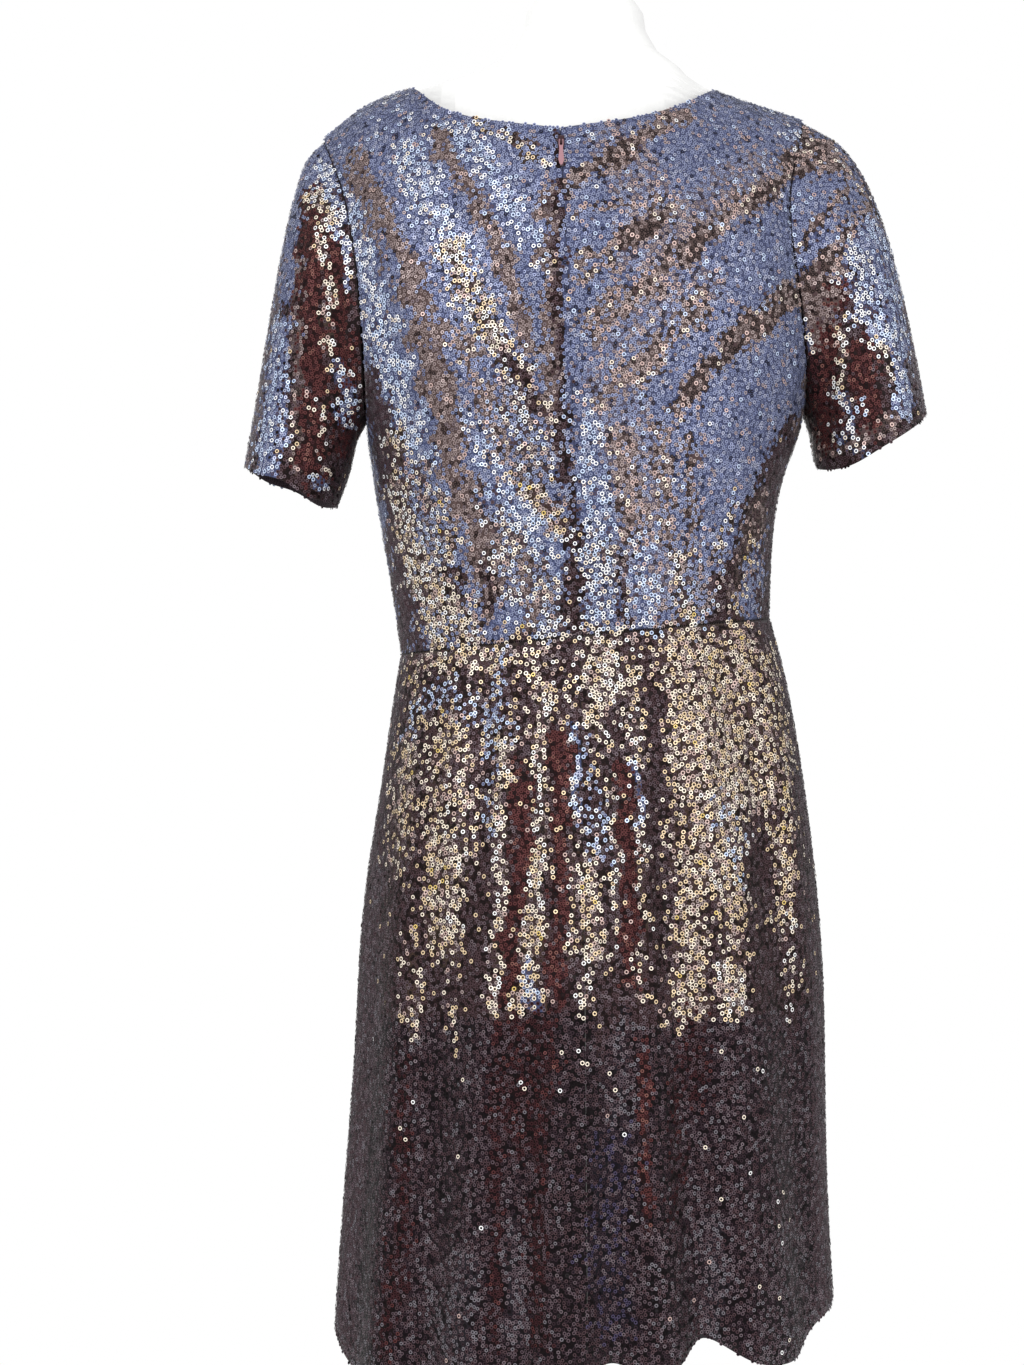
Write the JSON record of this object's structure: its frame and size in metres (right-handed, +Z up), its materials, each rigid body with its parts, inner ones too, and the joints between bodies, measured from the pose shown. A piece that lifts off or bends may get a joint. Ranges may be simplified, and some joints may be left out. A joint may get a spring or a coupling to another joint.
{
  "type": "short-sleeved cocktail dress on a limbless dress form",
  "caption": "Knee-length sequinned cocktail dress with a round neck, short set-in sleeves, waist seam, gathered skirt and back zip, on a limbless dress form with a pole and round base.",
  "frame": {"origin": "centre of the flat underside of the form's round base", "axes": "+Z up the pole, -Y the way the dress faces, so its zip is on the +Y side; +X towards the wearer's left"},
  "size_m": [0.545, 0.38, 1.4733],
  "materials": {
    "sequinned_net": "net covered in small overlapping iridescent ring sequins",
    "zip_tape": "woven polyester tape",
    "zip_metal": "lacquered zinc",
    "form_shell": "smooth matt white shell",
    "neck_cap": "satin grey cap",
    "stand_enamel": "pale satin enamel"
  },
  "bodies": {
    "dress_and_form": {"bodice_back_left": "sequinned_net", "bodice_back_right": "sequinned_net", "bodice_front": "sequinned_net", "form_base": "stand_enamel", "form_neck_cap": "neck_cap", "form_pole": "stand_enamel", "form_torso": "form_shell", "skirt_back_left": "sequinned_net", "skirt_back_right": "sequinned_net", "skirt_front": "sequinned_net", "sleeve_left": "sequinned_net", "sleeve_right": "sequinned_net", "zip_slider": "zip_metal", "zip_tape_left": "zip_tape", "zip_tape_right": "zip_tape"},
    "pull_tab": {"zip_pull_tab": "zip_metal"}
  },
  "joints": [
    {"name": "pull_tab_swing", "type": "hinge", "parent": "dress_and_form", "child": "pull_tab", "pos_m": [0.01997, 0.10204, 1.32945], "axis": [1, 0, 0], "range_deg": [0, 165]}
  ]
}
